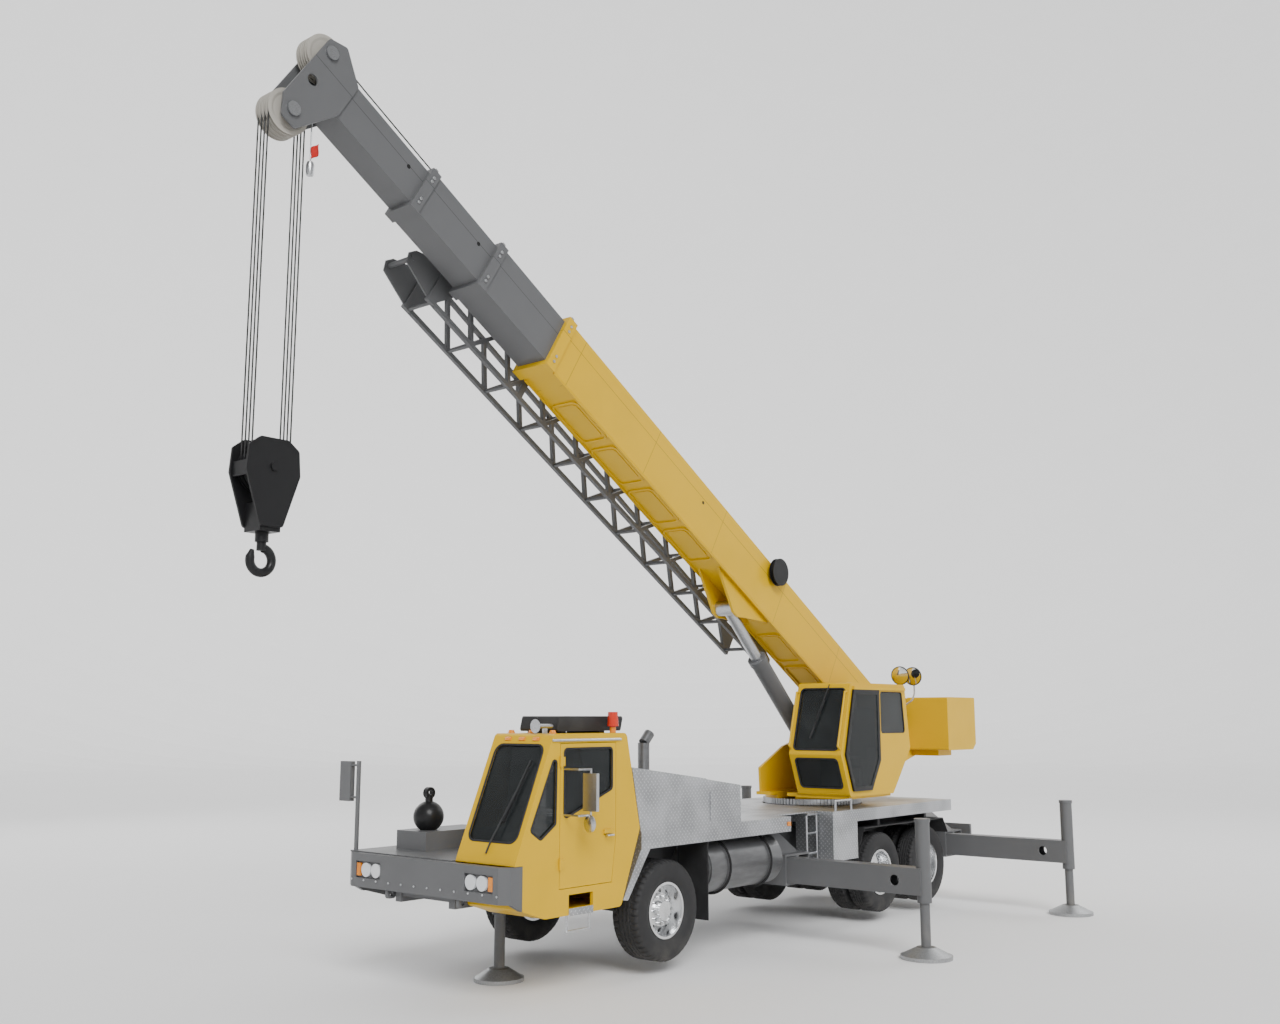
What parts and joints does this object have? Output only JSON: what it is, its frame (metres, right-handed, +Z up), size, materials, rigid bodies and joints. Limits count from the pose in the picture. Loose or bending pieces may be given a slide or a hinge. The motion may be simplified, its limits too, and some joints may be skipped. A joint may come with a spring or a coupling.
{
  "type": "truck crane",
  "caption": "Telescopic truck crane on outriggers: half-cab carrier, slewing upperworks with cab and counterweight, luffing boom, stowed lattice jib and hanging hook block.",
  "frame": {"origin": "on the ground under the slew axis", "axes": "+X to the front of the truck, +Y to its left, +Z up"},
  "size_m": [12.8676, 6.36, 9.5328],
  "materials": {
    "yellow_paint": "gloss",
    "grey_paint": "satin",
    "tread_plate": "satin",
    "bright_steel": "polished",
    "dark_paint": "satin",
    "dark_trim": "matt",
    "tyre_rubber": "matt",
    "window": "clear",
    "lens": "gloss"
  },
  "bodies": {
    "carrier": {"chassis_frame": "grey_paint", "front_bumper": "grey_paint", "front_deck": "grey_paint", "overhaul_ball": "dark_paint", "cab_shell": "yellow_paint", "cab_glass": "window", "cab_interior": "dark_trim", "roof_unit": "dark_trim", "engine_hood": "tread_plate", "deck_plates": "tread_plate", "tanks": "grey_paint", "engine_exhaust": "dark_paint", "axles": "dark_paint", "mud_guards": "dark_trim", "slew_ring": "bright_steel", "lamps": "lens", "grab_rails": "bright_steel"},
    "carrier_door": {"cab_door": "yellow_paint", "door_mirror": "bright_steel"},
    "steer_left": {"knuckle_left": "dark_paint"},
    "front_wheel_left": {"front_tyre_left": "tyre_rubber", "front_rim_left": "tread_plate"},
    "steer_right": {"knuckle_right": "dark_paint"},
    "front_wheel_right": {"front_tyre_right": "tyre_rubber", "front_rim_right": "tread_plate"},
    "rear_wheels_1_left": {"rear_tyres_1_left": "tyre_rubber", "rear_rims_1_left": "tread_plate"},
    "rear_wheels_1_right": {"rear_tyres_1_right": "tyre_rubber", "rear_rims_1_right": "tread_plate"},
    "rear_wheels_2_left": {"rear_tyres_2_left": "tyre_rubber", "rear_rims_2_left": "tread_plate"},
    "rear_wheels_2_right": {"rear_tyres_2_right": "tyre_rubber", "rear_rims_2_right": "tread_plate"},
    "outrigger_front_left": {"beam_front_left": "grey_paint"},
    "leg_front_left": {"jack_front_left": "grey_paint"},
    "outrigger_front_right": {"beam_front_right": "grey_paint"},
    "leg_front_right": {"jack_front_right": "grey_paint"},
    "outrigger_rear_left": {"beam_rear_left": "grey_paint"},
    "leg_rear_left": {"jack_rear_left": "grey_paint"},
    "outrigger_rear_right": {"beam_rear_right": "grey_paint"},
    "leg_rear_right": {"jack_rear_right": "grey_paint"},
    "leg_front": {"front_jack_leg": "grey_paint"},
    "upperworks": {"turntable_frame": "yellow_paint", "counterweight": "yellow_paint", "hoist_drum": "dark_paint", "operator_cab": "yellow_paint", "operator_glass": "window", "operator_interior": "dark_trim"},
    "operator_sliding_door": {"operator_door": "dark_paint"},
    "boom": {"boom_base": "yellow_paint", "cable_reel": "dark_paint", "stowed_jib": "grey_paint"},
    "lift_piston": {"lift_rod": "bright_steel"},
    "lift_cylinder": {"lift_barrel": "grey_paint"},
    "section_2": {"boom_section_2": "grey_paint"},
    "section_3": {"boom_section_3": "grey_paint"},
    "section_4": {"boom_section_4": "grey_paint"},
    "rope_falls": {"hoist_falls": "dark_paint"},
    "block": {"hook_block": "dark_paint"},
    "hook_body": {"hook": "dark_paint"}
  },
  "joints": [
    {"name": "cab_door_hinge", "type": "hinge", "parent": "carrier", "child": "carrier_door", "pos_m": [6.58, 1.2343, 1.7], "axis": [0, 0, -1], "range_deg": [0, 72]},
    {"name": "steer_left", "type": "hinge", "parent": "carrier", "child": "steer_left", "pos_m": [4.81, 0.792, 0.666], "axis": [0, 0, 1], "range_deg": [-32, 32]},
    {"name": "spin_front_left", "type": "hinge", "parent": "steer_left", "child": "front_wheel_left", "pos_m": [4.81, 0.9995, 0.666], "axis": [0, 1, 0], "continuous": true},
    {"name": "steer_right", "type": "hinge", "parent": "carrier", "child": "steer_right", "pos_m": [4.81, -0.792, 0.666], "axis": [0, 0, 1], "range_deg": [-32, 32]},
    {"name": "spin_front_right", "type": "hinge", "parent": "steer_right", "child": "front_wheel_right", "pos_m": [4.81, -0.9995, 0.666], "axis": [0, 1, 0], "continuous": true},
    {"name": "spin_rear_1_left", "type": "hinge", "parent": "carrier", "child": "rear_wheels_1_left", "pos_m": [0.14, 1.0525, 0.657], "axis": [0, 1, 0], "continuous": true},
    {"name": "spin_rear_1_right", "type": "hinge", "parent": "carrier", "child": "rear_wheels_1_right", "pos_m": [0.14, -1.0525, 0.657], "axis": [0, 1, 0], "continuous": true},
    {"name": "spin_rear_2_left", "type": "hinge", "parent": "carrier", "child": "rear_wheels_2_left", "pos_m": [-1.21, 1.0525, 0.657], "axis": [0, 1, 0], "continuous": true},
    {"name": "spin_rear_2_right", "type": "hinge", "parent": "carrier", "child": "rear_wheels_2_right", "pos_m": [-1.21, -1.0525, 0.657], "axis": [0, 1, 0], "continuous": true},
    {"name": "extend_front_left", "type": "slide", "parent": "carrier", "child": "outrigger_front_left", "axis": [0, -1, 0], "range_m": [0, 1.72]},
    {"name": "jack_front_left", "type": "slide", "parent": "outrigger_front_left", "child": "leg_front_left", "axis": [0, 0, 1], "range_m": [0, 0.43]},
    {"name": "extend_front_right", "type": "slide", "parent": "carrier", "child": "outrigger_front_right", "axis": [0, 1, 0], "range_m": [0, 1.72]},
    {"name": "jack_front_right", "type": "slide", "parent": "outrigger_front_right", "child": "leg_front_right", "axis": [0, 0, 1], "range_m": [0, 0.43]},
    {"name": "extend_rear_left", "type": "slide", "parent": "carrier", "child": "outrigger_rear_left", "axis": [0, -1, 0], "range_m": [0, 1.72]},
    {"name": "jack_rear_left", "type": "slide", "parent": "outrigger_rear_left", "child": "leg_rear_left", "axis": [0, 0, 1], "range_m": [0, 0.43]},
    {"name": "extend_rear_right", "type": "slide", "parent": "carrier", "child": "outrigger_rear_right", "axis": [0, 1, 0], "range_m": [0, 1.72]},
    {"name": "jack_rear_right", "type": "slide", "parent": "outrigger_rear_right", "child": "leg_rear_right", "axis": [0, 0, 1], "range_m": [0, 0.43]},
    {"name": "jack_front", "type": "slide", "parent": "carrier", "child": "leg_front", "axis": [0, 0, 1], "range_m": [0, 0.4]},
    {"name": "slew", "type": "hinge", "parent": "carrier", "child": "upperworks", "pos_m": [0, 0, 1.612], "axis": [0, 0, 1], "continuous": true},
    {"name": "operator_door_slide", "type": "slide", "parent": "upperworks", "child": "operator_sliding_door", "axis": [-1, 0, 0], "range_m": [0, 0.62]},
    {"name": "boom_luff", "type": "hinge", "parent": "upperworks", "child": "boom", "pos_m": [-1.663, 0, 2.6], "axis": [0, -1, 0], "range_deg": [-31, 45]},
    {"name": "lift_eye", "type": "hinge", "parent": "boom", "child": "lift_piston", "pos_m": [2.02166, 0, 4.20498], "axis": [0, -1, 0], "range_deg": [-3.54, 5.1]},
    {"name": "lift_stroke", "type": "slide", "parent": "lift_piston", "child": "lift_cylinder", "axis": [-0.7204, 0, -0.6936], "range_m": [-0.6931, 1.0016]},
    {"name": "boom_extend", "type": "slide", "parent": "boom", "child": "section_2", "axis": [0.8572, 0, 0.515], "range_m": [-0.95, 5.4]},
    {"name": "section_3_extend", "type": "slide", "parent": "section_2", "child": "section_3", "axis": [0.8572, 0, 0.515], "range_m": [-0.96, 5.41]},
    {"name": "section_4_extend", "type": "slide", "parent": "section_3", "child": "section_4", "axis": [0.8572, 0, 0.515], "range_m": [-0.96, 5.41]},
    {"name": "falls_plumb", "type": "hinge", "parent": "section_4", "child": "rope_falls", "pos_m": [9.32715, 0, 8.55024], "axis": [0, -1, 0], "range_deg": [-45.5, 31.5]},
    {"name": "hook_hoist", "type": "slide", "parent": "rope_falls", "child": "block", "axis": [0, 0, -1], "range_m": [-2.6, 3.8], "deforming": ["hoist_falls"]},
    {"name": "hook_swivel", "type": "hinge", "parent": "block", "child": "hook_body", "pos_m": [9.32715, 0, 4.33024], "axis": [0, 0, 1], "continuous": true}
  ],
  "couplings": [
    {"joint": "steer_right", "follows": "steer_left", "ratio": 1},
    {"joint": "lift_eye", "follows": "boom_luff", "ratio": 0.11},
    {"joint": "lift_stroke", "follows": "boom_luff", "m_per_rad": 1.25},
    {"joint": "section_3_extend", "follows": "boom_extend", "ratio": 1},
    {"joint": "section_4_extend", "follows": "boom_extend", "ratio": 1},
    {"joint": "falls_plumb", "follows": "boom_luff", "ratio": -1}
  ]
}
